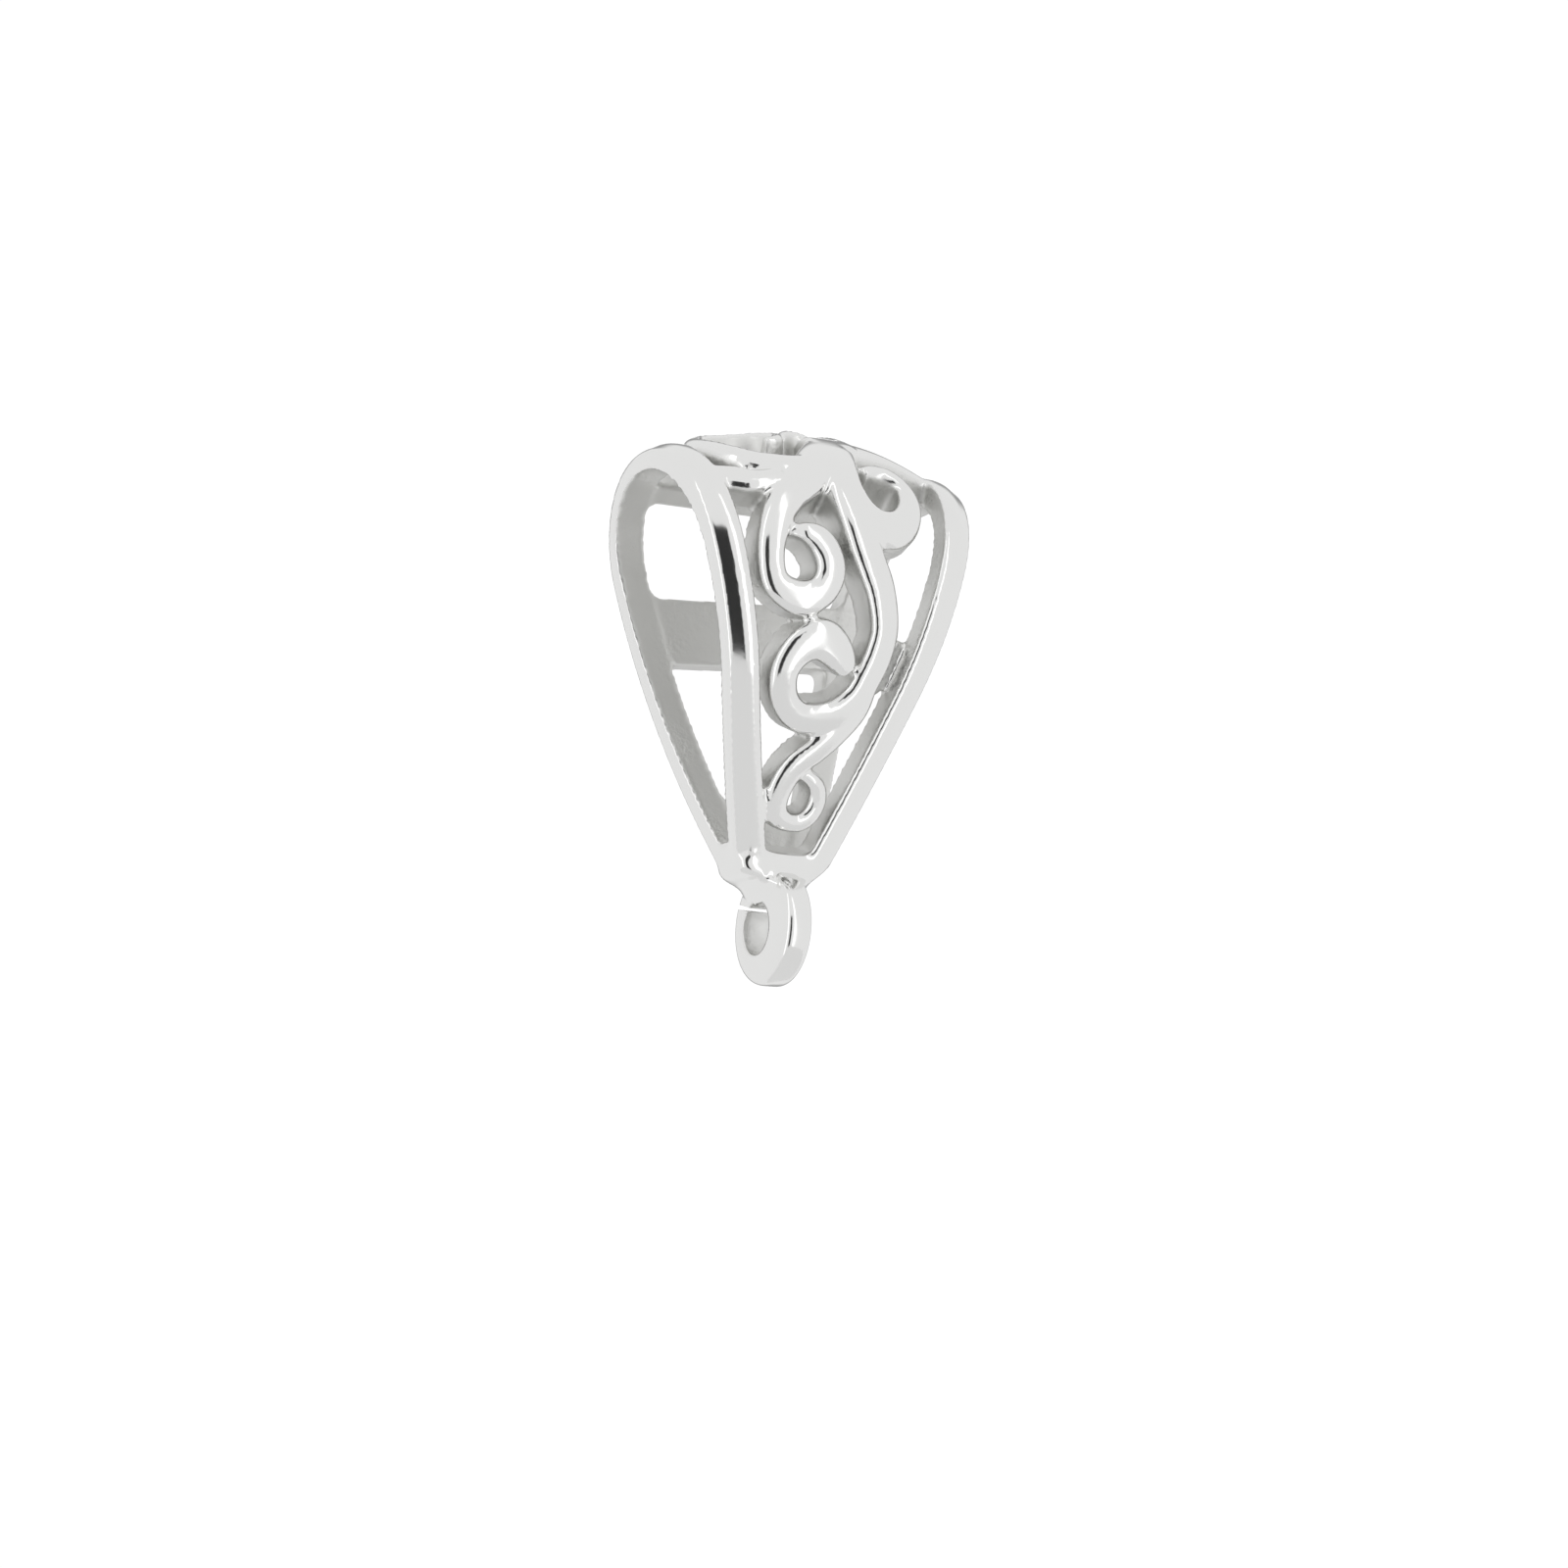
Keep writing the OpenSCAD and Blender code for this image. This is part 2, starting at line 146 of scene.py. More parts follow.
# Scrolls: the place across, the way along and the width of each, in mm
scrolls = {
    "scrollA": {"x": [0.35, -0.3, -1.0, -1.78, -2.26, -2.36, -2.12, -1.4, -0.82, -0.57, -0.67, -1.0,
                      -1.4, -1.75],
                "s": [1.4, 2.1, 2.8, 3.45, 4.25, 5.1, 5.8, 6.1, 5.88, 5.4, 4.9, 4.55, 4.4, 4.35],
                "width": [1.3, 1.3, 1.2, 1.05, 0.92, 0.82, 0.85, 1.02, 0.96, 0.98, 0.92, 0.78, 0.52, 0.3]},
    "scrollB": {"x": [0.4, 0.15, 0, 0.33, 0.72, 1.1, 1.38, 1.33, 1.14, 0.88, 0.35, -0.3, -0.85, -1.28, -1.48,
                      -1.42, -1.1, -0.6, -0.15, 0.2, 0.36],
                "s": [1.3, 2.2, 3.15, 4.2, 4.95, 5.65, 6.6, 7.35, 8.0, 8.65, 9.15, 9.35, 9.28, 8.88, 8.3,
                      7.8, 7.35, 7.12, 7.3, 7.64, 7.93],
                "width": [1.27, 1.2, 1.05, 1.05, 1.05, 1.02, 0.98, 1.0, 1.0, 1.0, 1.0, 1.0, 0.95, 0.88, 0.88,
                          0.95, 1.06, 1.2, 1.12, 0.9, 0.55]},
    "scrollC": {"x": [0.45, 0.3, 0.3, 0.52, 0.92, 1.38, 1.8, 2.13, 2.25, 2.1, 1.72, 1.28, 0.9],
                "s": [1.8, 2.6, 3.15, 3.65, 3.98, 4.05, 3.9, 3.52, 3.05, 2.62, 2.4, 2.35, 2.45],
                "width": [1.05, 0.8, 0.74, 0.8, 0.96, 1.04, 1.0, 0.9, 0.78, 0.62, 0.5, 0.42, 0.34]},
    "scrollD": {"x": [1.1, 1.0, 0.62, 0.08, -0.42, -0.68, -0.75, -0.62, -0.3, 0.1, 0.42, 0.52, 0.4,
                      0.1, -0.2],
                "s": [8.2, 8.95, 9.6, 10.25, 10.75, 11.3, 11.85, 12.28, 12.45, 12.45, 12.18, 11.75,
                      11.35, 11.1, 11.05],
                "width": [0.9, 0.88, 0.87, 0.86, 0.82, 0.82, 0.76, 0.7, 0.62, 0.6, 0.62, 0.62, 0.56,
                          0.45, 0.33]},
    "bandRight": {"x": [-0.21, 0.63, 1.69, 2.85, 4.11],
                  "s": [1.61, 1.33, 1.12, 0.97, 0.82],
                  "width": [1.48, 1.2, 0.95, 0.85, 1.1]},
    "budLeft": {"x": [-3.7, -3.2, -2.75, -2.3, -1.9],
                "s": [2.7, 2.85, 3.0, 3.0, 2.9],
                "width": [0.8, 0.75, 0.7, 0.6, 0.5]},
}
# Loops on the crest, with the height of each row over the crown
loops = {
    "loopLeft": {"x": [0.4, -0.4, -1.1, -1.8, -2.6, -3.2, -3.45, -3.1, -2.5, -1.7, -1.1, -0.8, -1.0, -1.4],
                 "s": [2.05, 2.4, 2.55, 2.5, 2.2, 1.5, 0.7, 0.05, -0.25, -0.25, 0, 0.45, 0.85, 0.9],
                 "width": [0.85, 0.8, 0.75, 0.72, 0.7, 0.68, 0.6, 0.52, 0.5, 0.5, 0.48, 0.42, 0.36, 0.25],
                 "lift": [0, 0, 0, 0, 0, 0, 0.05, 0.12, 0.2, 0.18, 0.1, 0.06, 0.04, 0.04]},
    "loopSmall": {"x": [0.8, 1.0, 1.02, 0.75, 0.25, -0.2, -0.3, -0.05, 0.3],
                  "s": [1.6, 0.86, 0.2, -0.25, -0.35, 0, 0.45, 0.75, 0.6],
                  "width": [0.95, 0.7, 0.55, 0.5, 0.5, 0.45, 0.42, 0.34, 0.21],
                  "lift": [0, 0.05, 0.16, 0.26, 0.27, 0.22, 0.15, 0.12, 0.1]},
}
# A low web between scroll B and the right rail
webs = {
    "webRight": {"x": [2.15, 2.05, 1.9, 1.72, 1.6],
                 "s": [6.9, 7.4, 7.9, 8.3, 8.6],
                 "width": [0.5, 0.7, 0.8, 0.65, 0.3]},
}
# Sections of the scrolls, in shares of their width and of the wall: how far the feet spread,
# where the round top starts, and the power that squares it. The inside follows the crown by
# insideCrown. A scroll narrower than fullWidth, in mm, is lower, down to leastRise.
relief = {"steps": 8, "sides": 20, "draft": 0.06, "shoulder": 0.04, "squareness": 0.66, "insideCrown": 0.25,
          "fullWidth": 0.5, "leastRise": 0.55, "webTall": 0.3}


def bowed(value, power):
    # A sine or cosine raised to a power that keeps its sign, which squares the circle's corners
    return np.sign(value) * np.abs(value) ** power


def sectionRound(sides, shoulder, draft, squareness):
    # Half-round section over straight sides: an ellipse with its corners pushed out, whose
    # feet are a little wider than its shoulders. Across runs -0.5 to 0.5, so does up.
    t = np.linspace(0, math.pi, sides)
    across = 0.5 * bowed(np.cos(t), squareness)
    up = shoulder + (0.5 - shoulder) * np.sin(t) ** squareness
    foot = 0.5 + draft
    return np.vstack([np.stack([across, up], -1), [[-foot, -0.5], [0, -0.5], [foot, -0.5]]])


def addScroll(skin, table, tall=1):
    # A section carried along the scroll's line: at each step it lies square to the line,
    # as wide as the table says and as thick as the wall, on top of the crown.
    x, s, width, *rest = smoothRows(table, relief["steps"])
    lift = rest[0][:, None] if rest else 0
    dx, ds = np.gradient(x), np.gradient(s)
    length = np.hypot(dx, ds)
    dx, ds = dx / length, ds / length
    section = sectionRound(relief["sides"], relief["shoulder"], relief["draft"], relief["squareness"])
    across = section[:, 0] * width[:, None]
    px, ps = x[:, None] + ds[:, None] * across, s[:, None] - dx[:, None] * across
    thin = np.clip(width / relief["fullWidth"], relief["leastRise"], 1)[:, None]
    height = (section[None, :, 1] + 0.5) * tall
    crown = crownAt(px, ps) * (relief["insideCrown"] + (1 - relief["insideCrown"]) * height)
    up = (height - 0.5) * strap["wall"] * np.where(height > 0.5, thin, 1)
    skin.add(place(px, ps, up + crown + lift * height))


# The rail's section from its outer side to its inner side: shares of its width and of the wall
rail = {"steps": 220, "across": [0, 0, 0.02, 0.07, 0.42, 0.52, 0.66, 0.84, 0.94, 0.99, 1, 1, 0.5],
        "up": [-0.5, 0.05, 0.13, 0.2, 0.41, 0.46, 0.49, 0.5, 0.475, 0.42, 0.33, -0.5, -0.5]}


def addRail(skin, side):
    # The rail's section carried along the strap's edge from the front foot over the crest to
    # the back foot, with a wide soft bevel outside and a narrow one inside.
    s = np.linspace(frontLength, -backLength, rail["steps"])[:, None]
    across, up = np.array(rail["across"]), np.array(rail["up"])
    x = side * halfAt(s) + across * (innerAt(s, side) - side * halfAt(s))
    rings = place(x, s + 0 * x, up * strap["wall"] + 0 * x)
    skin.add(rings if side > 0 else rings[:, ::-1])


# The bar's section from its upper to its lower edge: shares of its height and of the wall
bar = {"steps": 30, "cornerSteps": 13, "along": [0, 0, 0.04, 0.14, 0.5, 0.86, 0.96, 1, 1, 0.5],
       "up": [-0.44, 0.3, 0.42, 0.48, 0.49, 0.48, 0.42, 0.3, -0.44, -0.44]}


def addBar(skin, low, high, flareLow, flareHigh, tilt=0):
    # A bar from rail to rail between two ways along the strap. Its edges flare out in a
    # quarter circle next to the rails, which rounds the corners of the windows. A flare of -1
    # widens the bar there by the whole quarter circle, and 0 not at all.
    lap, r = strap["railLeft"] / 2, strap["cornerRadius"]
    reach = float(innerAt(np.array(low), 1) - innerAt(np.array(low), -1))
    # The places across are closer together in the corners
    corner = r * (1 - np.cos(np.linspace(0, math.pi / 2, bar["cornerSteps"])))
    between = np.linspace(r, reach - r, bar["steps"])[1:-1]
    k = np.concatenate([[-lap], corner, between, reach - corner[::-1], [reach + lap]])
    k = k[:, None] / reach
    e = np.clip(1 - np.minimum(k, 1 - k) * reach / r, 0, 1)
    flare = r * (1 - np.sqrt(1 - e * e))
    up = np.array(bar["up"]) * strap["wall"]
    a, b = low - flare * flareLow, high + flare * flareHigh
    s = a + (b - a) * np.array(bar["along"]) + tilt * (k - 0.5)
    x = innerAt(s, -1) + k * (innerAt(s, 1) - innerAt(s, -1))
    skin.add(place(x, s, up + 0 * s)[:, ::-1])


# The foot and neck: the drop under the foot's level, the left and right ends, the front and the
# back, in mm, and the power of the corners, from 0 for square to 1 for round
foot = {"drop": [-0.2, 0, 0.15, 0.3, 0.42, 0.5, 0.58, 0.7, 0.85, 1.0, 1.15],
        "left": [-1.55, -1.48, -1.46, -1.42, -1.3, -1.1, -0.85, -0.66, -0.56, -0.5, -0.46],
        "right": [1.55, 1.48, 1.38, 1.22, 1.08, 0.98, 0.88, 0.75, 0.6, 0.52, 0.46],
        "front": [0.04, 0.05, 0.06, 0.07, 0.06, 0.02, -0.06, -0.2, -0.4, -0.52, -0.6],
        "back": [1.9, 1.86, 1.84, 1.82, 1.85, 1.92, 2.0, 2.1, 2.2, 2.1, 1.6],
        "corner": [0.3, 0.3, 0.32, 0.35, 0.4, 0.45, 0.5, 0.6, 0.7, 0.75, 0.8]}
# Between the legs: the crotch's height over the foot's level, how wide and how far in the stack
# of each edge stands, how far it sinks into the foot, how its back slopes with the leg, and the
# height of the lip under the front's filigree
fork = {"crotch": 0.52, "width": 0.85, "inset": 0.04, "sink": 0.1, "corner": 0.3, "backLean": 0.38,
        "steps": 12, "footSteps": 6, "sides": 64, "lip": 0.38, "lipFlare": 0.3}


def addStack(skin, z, middleX, halfX, front, back, corner):
    # Rounded rectangles stacked down the way z, each a superellipse with its own corner power.
    t = np.linspace(0, 2 * math.pi, fork["sides"], endpoint=False)
    power = corner[:, None]
    x = middleX[:, None] + halfX[:, None] * bowed(np.cos(t), power)
    y = (front + back)[:, None] / 2 + (back - front)[:, None] / 2 * bowed(np.sin(t), power)
    skin.add(np.stack([x, y, z[:, None] + 0 * x], -1)[:, ::-1])


def addFoot(skin):
    # One stack for the foot and neck, and a short one between the legs along each edge.
    drop, left, right, front, back, corner = smoothRows(foot, fork["footSteps"])
    addStack(skin, footZ - drop, (left + right) / 2, (right - left) / 2, front, back, corner)
    z = np.linspace(fork["crotch"], -fork["sink"], fork["steps"])
    lean = math.radians(strap["frontLean"])
    frontY = wallAt(np.array([frontLength]))[0][0] - np.maximum(z, 0) * math.tan(lean)
    backY = wallAt(np.array([-backLength]))[0][0] + np.maximum(z, 0) * fork["backLean"]
    edge = (strap["crestWidth"] - strap["taper"] * (strap["archRadius"] + strap["legHeight"] - z)) / 2
    middle = edge - fork["width"] / 2 - fork["inset"]
    halfWidth, corners = 0 * z + fork["width"] / 2, 0 * z + fork["corner"]
    for side in (-1, 1):
        addStack(skin, footZ + z, side * middle, halfWidth, frontY, backY, corners)


# The section's flat side along the bore is given as shares of half of the wire's width and of
# the way from the bore to the outside. The rest bows out from the shoulder.
ring = {"bore": 1.54, "boreBack": 0.26, "wireThick": 0.91, "wireWide": 0.92, "drop": 1.83, "back": 0.9,
        "slit": 0.14, "slitRise": 0.46, "slitAngle": 13.5, "steps": 180, "sides": 25,
        "flatAcross": [-0.9, -0.45, 0, 0.45, 0.9, 0.98, 1], "flatShare": [0, 0, 0, 0, 0, 0.02, 0.1],
        "shoulder": 0.5, "bowAcross": 0.5, "bowOut": 0.65, "borePolishAndShade": 0.3, "polishAndShadeSlope": 20}


def makeRing():
    # The ring's section, round outside and flat along its bore, carried round the ring's
    # middle. The bore's circle lies off the middle, and both ends lie on the faces of a
    # sloping slit.
    half, outer = ring["wireWide"] / 2, ring["bore"] / 2 + ring["wireThick"]
    t = np.linspace(0, math.pi, ring["sides"])
    flatAcross, flatShare = np.array(ring["flatAcross"]), np.array(ring["flatShare"])
    bowOut = ring["shoulder"] + (1 - ring["shoulder"]) * np.sin(t) ** ring["bowOut"]
    across = half * np.concatenate([flatAcross, bowed(np.cos(t), ring["bowAcross"]), -flatAcross[:-3:-1]])
    share = np.concatenate([flatShare, bowOut, flatShare[:-3:-1]])
    slope, rise = math.radians(ring["slitAngle"]), ring["slitRise"]
    near = outer * share + (ring["bore"] / 2 + ring["boreBack"]) * (1 - share)
    start = slope + np.arcsin((rise + ring["slit"] / 2) / near)
    end = slope + 2 * math.pi + np.arcsin((rise - ring["slit"] / 2) / near)
    turn = start + (end - start) * np.linspace(0, 1, ring["steps"])[:, None]
    off = ring["boreBack"]
    inner = off * np.cos(turn) + np.sqrt((ring["bore"] / 2) ** 2 - (off * np.sin(turn)) ** 2)
    radial = inner + (outer - inner) * share
    y = ring["back"] + radial * np.cos(turn)
    z = footZ - ring["drop"] + radial * np.sin(turn)
    skin = Skin()
    skin.add(np.stack([across + 0 * y, y, z], -1) * mm)
    mesh = skin.mesh("pendantRing")
    # The bore is left rougher than the outside, and darker in colour as painted shade inside the ring
    polishAndShadeValues = np.broadcast_to(np.clip(share * ring["polishAndShadeSlope"], ring["borePolishAndShade"], 1), radial.shape)
    polishAndShade = mesh.attributes.new("polishAndShade", "FLOAT", "POINT")
    polishAndShade.data.foreach_set("value", polishAndShadeValues.ravel().astype(np.float32))
    return mesh


# The skin's voxels in mm, the rounds of smoothing, and how far each point is pulled to its
# neighbours and pushed back
finishing = {"voxel": 0.076, "smoothing": 14, "pull": 0.5, "push": 0.52}
# Casting pits on the front of the foot: the place across, the drop under the foot's level, the
# radius and the depth of each, in mm
pits = {"x": [-0.1, -0.6, 0.5, 0.15], "drop": [0.7, 0.5, 0.95, 0.95], "radius": [0.2, 0.13, 0.14, 0.1],
        "depth": [0.11, 0.05, 0.08, 0.06]}


def relax(mesh, points):
    # Evens out the steps of the voxels: each point moves half of the way to the mean of its
    # neighbours, and then a little more than that back, which nearly keeps the volume.
    edges = np.empty(len(mesh.edges) * 2, np.int32)
    mesh.edges.foreach_get("vertices", edges)
    a, b = edges.reshape(-1, 2).T
    degree = np.bincount(edges, minlength=len(points))[:, None]
    for step in range(finishing["smoothing"]):
        for weight in (finishing["pull"], -finishing["push"]):
            total = np.stack([np.bincount(a, points[b, i], len(points))
                              + np.bincount(b, points[a, i], len(points)) for i in range(3)], -1)
            points = points + weight * (total / degree - points)
    return points


def pitted(points):
    # Each pit is a bell-shaped dent that pushes the front of the foot back. What lies further
    # back than a wall's thickness behind the seat's line stays.
    x, drop, radius, depth = map(np.array, pits.values())
    away = np.hypot(points[:, 0, None] - x, points[:, 2, None] - (footZ - drop)) / radius
    dent = (depth * np.exp(-away ** 2)).sum(1)
    points[:, 1] += np.where(points[:, 1] < strap["wall"], dent, 0)
    return points


# What the buffing wheel reaches: how far a surface must face outwards, the plane that parts
# the front leg from the back leg, and the depth in mm to which the edges and the foot are buffed.
# What it doesn't reach is rougher, and also darker in colour as painted shade.
buffingAndShade = {"facing": 0.2, "facingSoft": 0.35, "splitY": 0.2, "splitLean": 0.09, "edge": 0.14,
           "edgeSoft": 0.08, "side": 0.3, "sideSoft": 0.5, "bottom": 0.1, "bottomSoft": 0.15}


def ramp(value, start, soft):
    # 0 below the start, 1 past the soft stretch after it
    return np.clip((value - start) / soft, 0, 1)


def polishAndShadeOf(mesh, points):
    # 1 on what a buffing wheel reaches, the outside of the wall and its edges, and 0 on what it
    # leaves as cast: inside the loop and inside the piercings. It goes by how far the surface
    # faces away from the wall's middle line. Where it is low the colour is darkened too, as painted
    # shade in the recesses.
    normals = np.empty(len(mesh.vertices) * 3, np.float32)
    mesh.vertices.foreach_get("normal", normals)
    nx, ny, nz = normals.reshape(-1, 3).T
    x, y, z = points[:, 0], points[:, 1], points[:, 2] + seatZ
    r = strap["archRadius"]
    low = np.minimum(z, 0)
    frontTurn = np.arcsin(np.clip(-low / strap["frontRadius"], 0, math.sin(math.radians(strap["frontLean"]))))
    backTurn = np.arcsin(np.clip(-low / strap["backRadius"], 0, 1))
    front = y < buffingAndShade["splitY"] - low * buffingAndShade["splitLean"]
    length = np.hypot(y, z)
    wy = np.where(z > 0, y / length, np.where(front, -np.cos(frontTurn), np.cos(backTurn)))
    wz = np.where(z > 0, z / length, np.where(front, -np.sin(frontTurn), -np.sin(backTurn)))
    facing = ramp(ny * wy + nz * wz, buffingAndShade["facing"], buffingAndShade["facingSoft"])
    edge = ramp(np.abs(x) - halfAtDrop(r - z), -buffingAndShade["edge"], buffingAndShade["edgeSoft"])
    edge = edge * ramp(np.abs(nx), buffingAndShade["side"], buffingAndShade["sideSoft"])
    bottom = ramp(-strap["legHeight"] - z, -buffingAndShade["bottom"], buffingAndShade["bottomSoft"])
    return np.maximum(np.maximum(facing, edge), bottom)


def buildCasting():
    # The strap, its filigree, the back plate and the foot as one smoothed skin
    skin = Skin()
    for table in [*scrolls.values(), *loops.values()]:
        addScroll(skin, table)
    for table in webs.values():
        addScroll(skin, table, relief["webTall"])
    for side in (-1, 1):
        addRail(skin, side)
    windowTop, windowEnd = -strap["windowTop"], -strap["windowTop"] - strap["windowHeight"]
    addBar(skin, windowTop + strap["topBar"], windowTop, 0, -1)
    addBar(skin, windowEnd, windowEnd - strap["crossbarHeight"], -1, -1, strap["barTilt"])
    webDrop = strap["legHeight"] - strap["footWeb"]
    webEnd = archLength + strap["backRadius"] * math.asin(webDrop / strap["backRadius"])
    addBar(skin, -webEnd, -backLength, -1, 0)
    addBar(skin, frontLength, frontLength - fork["lip"], 0, -fork["lipFlare"])
    addFoot(skin)
    print("casting drafted:", skin.count, "points")
    # The pieces are melted into one skin at 1000 times their size, because the voxel tool
    # has a smallest step, and are brought back to metres afterwards.
    rough = bpy.data.objects.new("castingRough", skin.mesh("castingRough"))
    bpy.context.scene.collection.objects.link(rough)
    melt = rough.modifiers.new("melt", "REMESH")
    melt.mode = "VOXEL"
    melt.voxel_size = finishing["voxel"]
    bpy.context.view_layer.update()
    evaluated = rough.evaluated_get(bpy.context.evaluated_depsgraph_get())
    mesh = bpy.data.meshes.new_from_object(evaluated)
    bpy.data.objects.remove(rough)
    points = np.empty(len(mesh.vertices) * 3, np.float32)
    mesh.vertices.foreach_get("co", points)
    points = pitted(relax(mesh, points.reshape(-1, 3).astype(float)))
    mesh.vertices.foreach_set("co", (points * mm).ravel().astype(np.float32))
    mesh.update()
    # The mask sets roughness, and it also darkens the colour inside as painted shade
    polishAndShade = mesh.attributes.new("polishAndShade", "FLOAT", "POINT")
    polishAndShade.data.foreach_set("value", polishAndShadeOf(mesh, points).astype(np.float32))
    print("casting melted:", len(mesh.polygons), "faces")
    return mesh


def addPiece(name, mesh, material):
    # A smooth-shaded object that rides on the part's one body.
    piece = bpy.data.objects.new(name, mesh)
    bpy.context.scene.collection.objects.link(piece)
    mesh.materials.clear()
    mesh.materials.append(material)
    mesh.polygons.foreach_set("use_smooth", np.ones(len(mesh.polygons), bool))
    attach(piece, "root")
    return piece


def linear(hexColour):
    # sRGB hex to linear light, channel by channel
    c = np.array([int(hexColour[i:i + 2], 16) / 255 for i in (1, 3, 5)])
    c = np.where(c <= 0.04045, c / 12.92, ((c + 0.055) / 1.055) ** 2.4)
    return (*c.tolist(), 1.0)


def addNode(tree, kind, settings=None, links=None):
    # Adds a node, sets its properties and sockets by name, and links its inputs to outputs.
    node = tree.nodes.new(kind)
    for key, value in (settings or {}).items():
        if isinstance(key, int) or key in node.inputs:
            node.inputs[key].default_value = value
        else:
            setattr(node, key, value)
    for key, source in (links or {}).items():
        tree.links.new(source, node.inputs[key])
    return node


# Rhodium-plated cast silver, buffed outside: bright and nearly neutral, with fine scratches and
# the soft waves of hand finishing. Inside it stays rougher, with patches of the mould's grain,
# and its colour is darker there as painted shade in the recesses and piercings.
# Sizes and depths of the patterns are in mm.
silverLook = {"colour": "#EFEFEE", "roughness": 0.12, "castAndShadeColour": "#E0E0DE", "castRoughness": 0.4,
              "wave": 1.2, "waveDetail": 2.0, "waveDepth": 0.01, "waveStrength": 0.25,
              "scratch": 0.35, "scratchDetail": 5.0, "scratchDepth": 0.004, "scratchStrength": 0.2,
              "grain": 0.16, "grainDetail": 3.0, "grainDepth": 0.03,
              "patch": 1.6, "patchDetail": 1.0, "patchFrom": 0.45, "patchTo": 0.6, "patchLeast": 0.15}


def addNoise(tree, where, pattern):
    # Noise of the pattern's size and detail
    settings = {"Scale": 1 / (silverLook[pattern] * mm), "Detail": silverLook[pattern + "Detail"]}
    return addNode(tree, "ShaderNodeTexNoise", settings, {"Vector": where}).outputs["Fac"]


def makeSilver(name):
    material = bpy.data.materials.new(name)
    material.use_nodes = True
    tree = material.node_tree
    tree.nodes.clear()
    where = addNode(tree, "ShaderNodeTexCoord").outputs["Object"]
    polishAndShade = addNode(tree, "ShaderNodeAttribute", {"attribute_name": "polishAndShade"}).outputs["Fac"]
    waves = addNode(tree, "ShaderNodeBump",
                    {"Strength": silverLook["waveStrength"], "Distance": silverLook["waveDepth"] * mm},
                    {"Height": addNoise(tree, where, "wave")}).outputs["Normal"]
    scratches = addNode(tree, "ShaderNodeBump",
                        {"Strength": silverLook["scratchStrength"],
                         "Distance": silverLook["scratchDepth"] * mm},
                        {"Height": addNoise(tree, where, "scratch"), "Normal": waves}).outputs["Normal"]
    # Grain of the mould, in patches, on what isn't polished
    grainy = addNode(tree, "ShaderNodeMapRange",
                     {"From Min": silverLook["patchFrom"], "From Max": silverLook["patchTo"],
                      "To Min": silverLook["patchLeast"], "To Max": 1.0},
                     {"Value": addNoise(tree, where, "patch")}).outputs["Result"]
    asCast = addNode(tree, "ShaderNodeMapRange", {"To Min": 1.0, "To Max": 0.0},
                     {"Value": polishAndShade}).outputs["Result"]
    strength = addNode(tree, "ShaderNodeMath", {"operation": "MULTIPLY"},
                       {0: grainy, 1: asCast}).outputs["Value"]
    grain = addNode(tree, "ShaderNodeBump", {"Distance": silverLook["grainDepth"] * mm},
                    {"Strength": strength, "Height": addNoise(tree, where, "grain"),
                     "Normal": scratches}).outputs["Normal"]
    # Painted shade: the colour turns darker where the mask is low, inside the piercings and recesses and in
    # the ring's bore
    colour = addNode(tree, "ShaderNodeMix", {"data_type": "RGBA", 6: linear(silverLook["castAndShadeColour"]),
                                             7: linear(silverLook["colour"])}, {0: polishAndShade}).outputs[2]
    rough = addNode(tree, "ShaderNodeMapRange",
                    {"To Min": silverLook["castRoughness"], "To Max": silverLook["roughness"]},
                    {"Value": polishAndShade}).outputs["Result"]
    shader = addNode(tree, "ShaderNodeBsdfPrincipled", {"Metallic": 1.0},
                     {"Base Color": colour, "Roughness": rough, "Normal": grain})
    out = addNode(tree, "ShaderNodeOutputMaterial")
    tree.links.new(shader.outputs["BSDF"], out.inputs["Surface"])
    return material


silver = makeSilver("rhodiumPlatedSilver")
casting = addPiece("casting", buildCasting(), silver)
pendantRing = addPiece("pendantRing", makeRing(), silver)
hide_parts("bail")
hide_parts("bail")
print("pieces made")

# Camera: it looks up at the part from the front left. Aim and distance are in mm, as are the
# lens and the sensor.
view = {"aim": (-0.115, 0.061, -6.03 - seatZ), "azimuth": 28.0, "rise": 12.0, "distance": 147.63,
        "lens": 118.8, "sensor": 36.0, "clipStart": 1.0}
turn, rise = math.radians(view["azimuth"]), math.radians(view["rise"])
forward = np.array([math.sin(turn) * math.cos(rise), math.cos(turn) * math.cos(rise), math.sin(rise)])
eye = (np.array(view["aim"]) - forward * view["distance"]) * mm
cameraData = bpy.data.cameras.new("camera")
cameraData.lens = view["lens"]
cameraData.sensor_width = view["sensor"]
cameraData.clip_start = view["clipStart"] * mm
camera = bpy.data.objects.new("camera", cameraData)
camera.location = eye
camera.rotation_euler = (math.radians(90) + rise, 0, -turn)
bpy.context.scene.collection.objects.link(camera)
bpy.context.scene.camera = camera

# Floor: a round pale board, low enough to stay out of the picture, in metres
stage = {"floorZ": -0.2, "floorRadius": 0.22, "floorSides": 96, "floorColour": "#F2F2F2",
         "floorRoughness": 0.9}
floorMesh = bpy.data.meshes.new("floor")
around = np.linspace(0, 2 * math.pi, stage["floorSides"], endpoint=False)
rim = np.stack([np.cos(around), np.sin(around), 0 * around], -1) * stage["floorRadius"]
rim = rim + [0, 0, stage["floorZ"]]
floorMesh.from_pydata(rim.tolist(), [], [list(range(stage["floorSides"]))])
floor = bpy.data.objects.new("floor", floorMesh)
bpy.context.scene.collection.objects.link(floor)
floorPaint = bpy.data.materials.new("palePaper")
floorPaint.use_nodes = True
paper = floorPaint.node_tree.nodes["Principled BSDF"]
paper.inputs["Base Color"].default_value = linear(stage["floorColour"])
paper.inputs["Roughness"].default_value = stage["floorRoughness"]
floorMesh.materials.append(floorPaint)

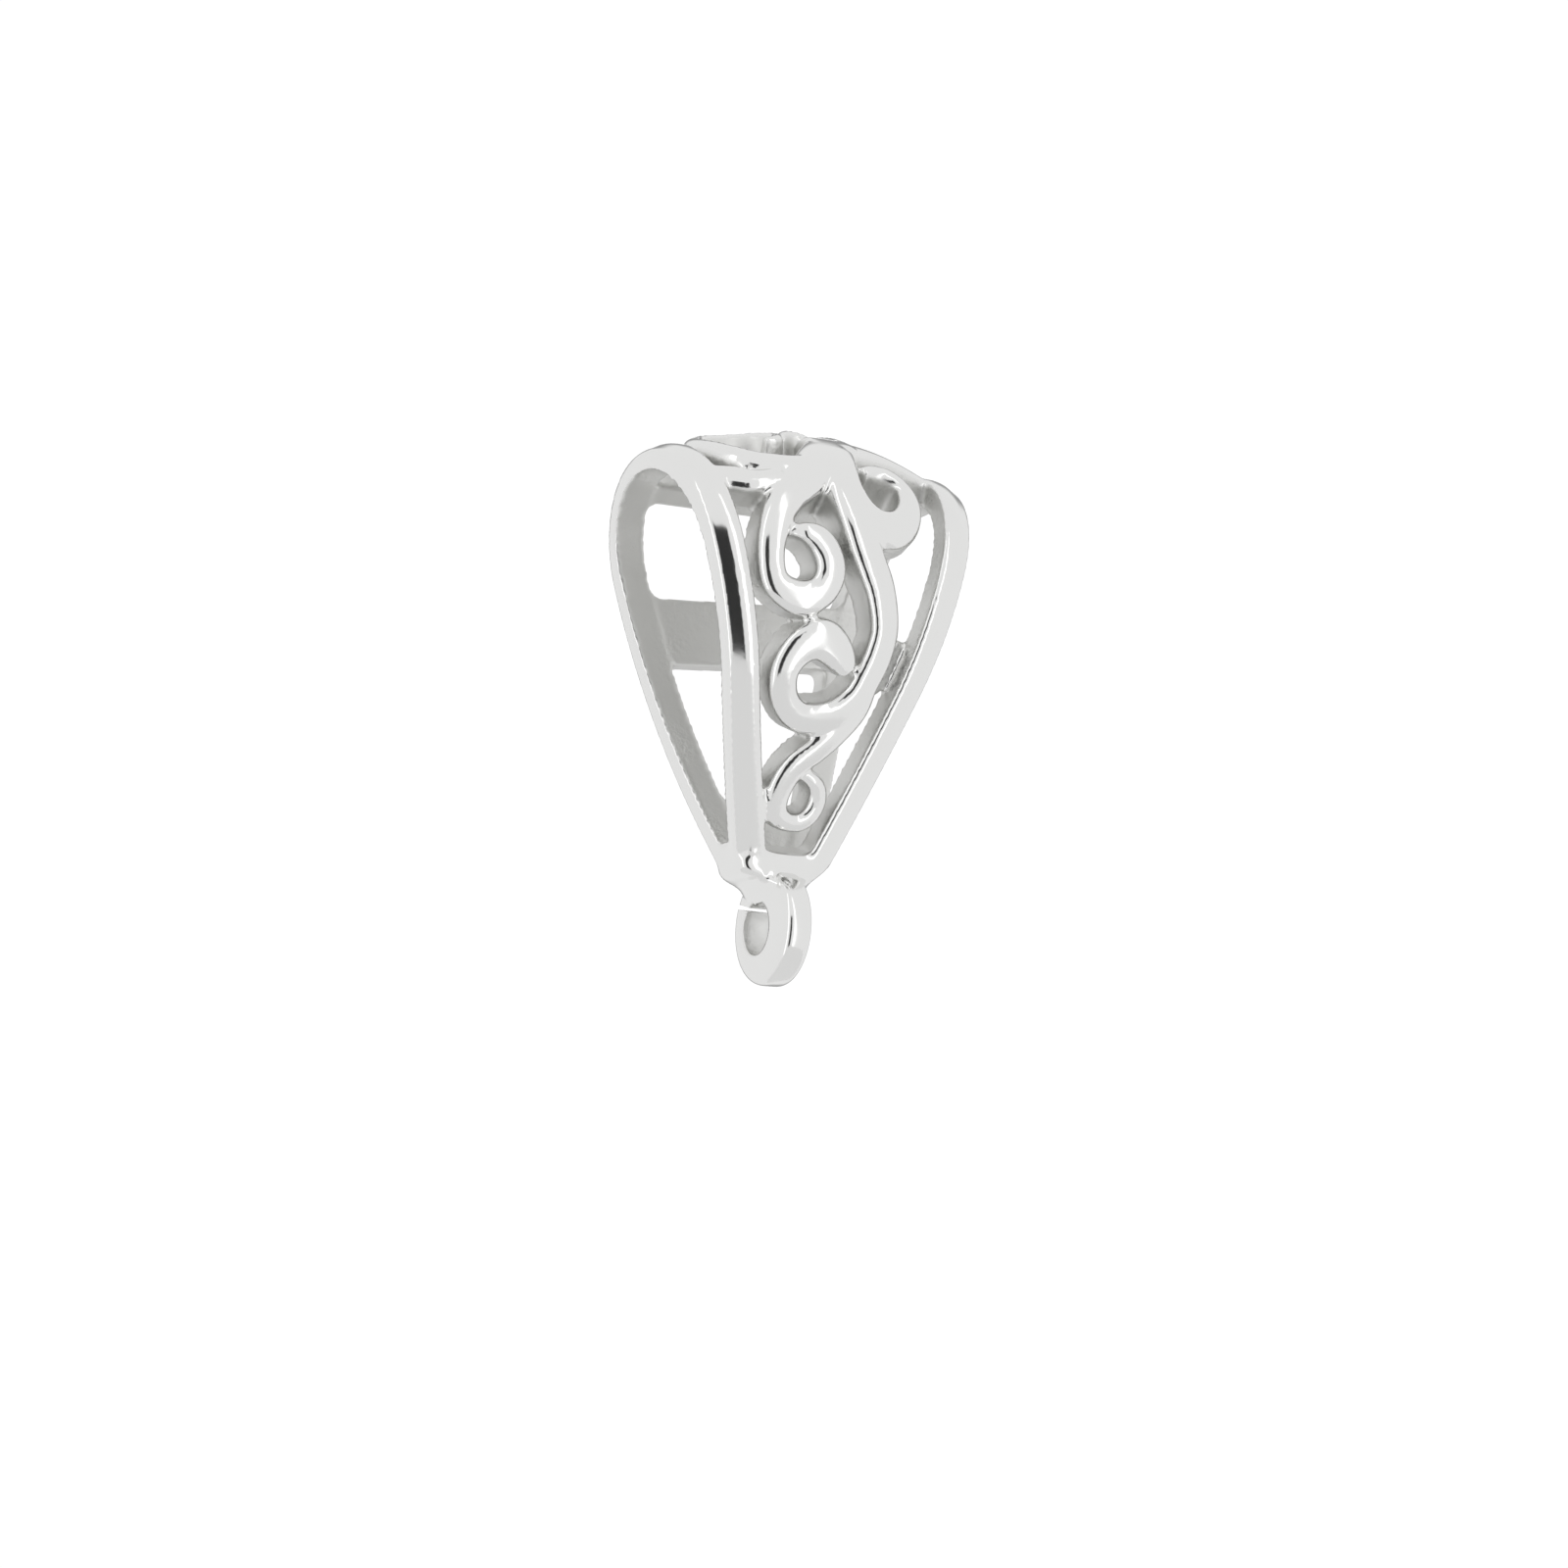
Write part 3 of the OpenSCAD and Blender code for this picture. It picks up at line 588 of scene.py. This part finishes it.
# World: a bright field. The backdrop is white, a darker band round it gives the edges a thin
# dark line, and what faces the camera shows the dark camera with a white strip on each side.
# Angles are in degrees, from straight ahead or from straight back to the camera, and backdrop,
# edge, side, camera and strip are brightnesses.
tent = {"backdropHalf": 13.5, "backdrop": 1.05, "edge": 0.33, "edgeEnd": 38.0, "edgeSoft": 12.0, "side": 0.86,
        "camera": 0.03, "cameraWide": 10.0, "cameraUp": -5.0, "cameraTall": 29.0,
        "strip": 1.5, "stripAt": 41.0, "stripHalf": 4.0, "stripTall": 60.0, "soft": 3.0}
world = bpy.data.worlds.new("tent")
bpy.context.scene.world = world
world.use_nodes = True
tree = world.node_tree
tree.nodes.clear()
direction = addNode(tree, "ShaderNodeTexCoord").outputs["Generated"]


def shareAlong(axis):
    # How much of the direction points along an axis
    node = addNode(tree, "ShaderNodeVectorMath", {"operation": "DOT_PRODUCT"}, {0: direction})
    node.inputs[1].default_value = axis.tolist()
    return node.outputs["Value"]


def calculated(operation, first, second=None):
    # One step of arithmetic on an output, with a second number where the step takes one
    settings = {"operation": operation} if second is None else {"operation": operation, 1: second}
    return addNode(tree, "ShaderNodeMath", settings, {0: first}).outputs["Value"]


def within(angle, middle, half):
    # 1 where the angle lies within half of the middle, 0 past a soft edge
    away = calculated("ABSOLUTE", calculated("SUBTRACT", angle, math.radians(middle)))
    edges = {"From Min": math.radians(half + tent["soft"]), "From Max": math.radians(half)}
    return addNode(tree, "ShaderNodeMapRange", edges, {"Value": away}).outputs["Result"]


def both(a, b):
    # 1 only where both masks are 1
    return addNode(tree, "ShaderNodeMath", {"operation": "MULTIPLY"}, {0: a, 1: b}).outputs["Value"]


def laidOver(under, mask, tone):
    # The tone where the mask is 1, and what lies under it where the mask is 0
    return addNode(tree, "ShaderNodeMix", {"B": tone}, {"Factor": mask, "A": under}).outputs["Result"]


right = np.array([math.cos(turn), -math.sin(turn), 0])
ahead = shareAlong(forward)
backwards = calculated("MULTIPLY", ahead, -1.0)
sideways = addNode(tree, "ShaderNodeMath", {"operation": "ARCTAN2"}, {0: shareAlong(right), 1: backwards})
sideways = sideways.outputs["Value"]
upwards = calculated("ARCSINE", shareAlong(np.cross(right, forward)))
spread = calculated("ABSOLUTE", sideways)
# A ramp by the angle from straight ahead, over half a turn. Its colours stop at 1, so the tones
# are halved in it and doubled after it.
halfTurn = 180
angleShare = calculated("DIVIDE", calculated("ARCCOSINE", ahead), math.pi)
ramped = addNode(tree, "ShaderNodeValToRGB", None, {"Fac": angleShare})
stops = [(0, tent["backdrop"]), (tent["backdropHalf"], tent["backdrop"]),
         (tent["backdropHalf"] + tent["soft"], tent["edge"]),
         (tent["edgeEnd"] - tent["edgeSoft"], tent["edge"]), (tent["edgeEnd"], tent["side"])]
elements = ramped.color_ramp.elements
while len(elements) > 1:
    elements.remove(elements[0])
for i, (degrees, tone) in enumerate(stops):
    element = elements[0] if i == 0 else elements.new(degrees / halfTurn)
    element.position = degrees / halfTurn
    element.color = (tone / 2, tone / 2, tone / 2, 1)
field = calculated("MULTIPLY", ramped.outputs["Color"], 2.0)
stripMask = both(within(spread, tent["stripAt"], tent["stripHalf"]), within(upwards, 0, tent["stripTall"]))
cameraMask = both(within(sideways, 0, tent["cameraWide"]),
                  within(upwards, tent["cameraUp"], tent["cameraTall"]))
tone = laidOver(laidOver(field, stripMask, tent["strip"]), cameraMask, tent["camera"])
background = addNode(tree, "ShaderNodeBackground", None, {"Color": tone})
out = addNode(tree, "ShaderNodeOutputWorld")
tree.links.new(background.outputs["Background"], out.inputs["Surface"])
# Standard keeps the white of the photo's background
bpy.context.scene.view_settings.view_transform = "Standard"
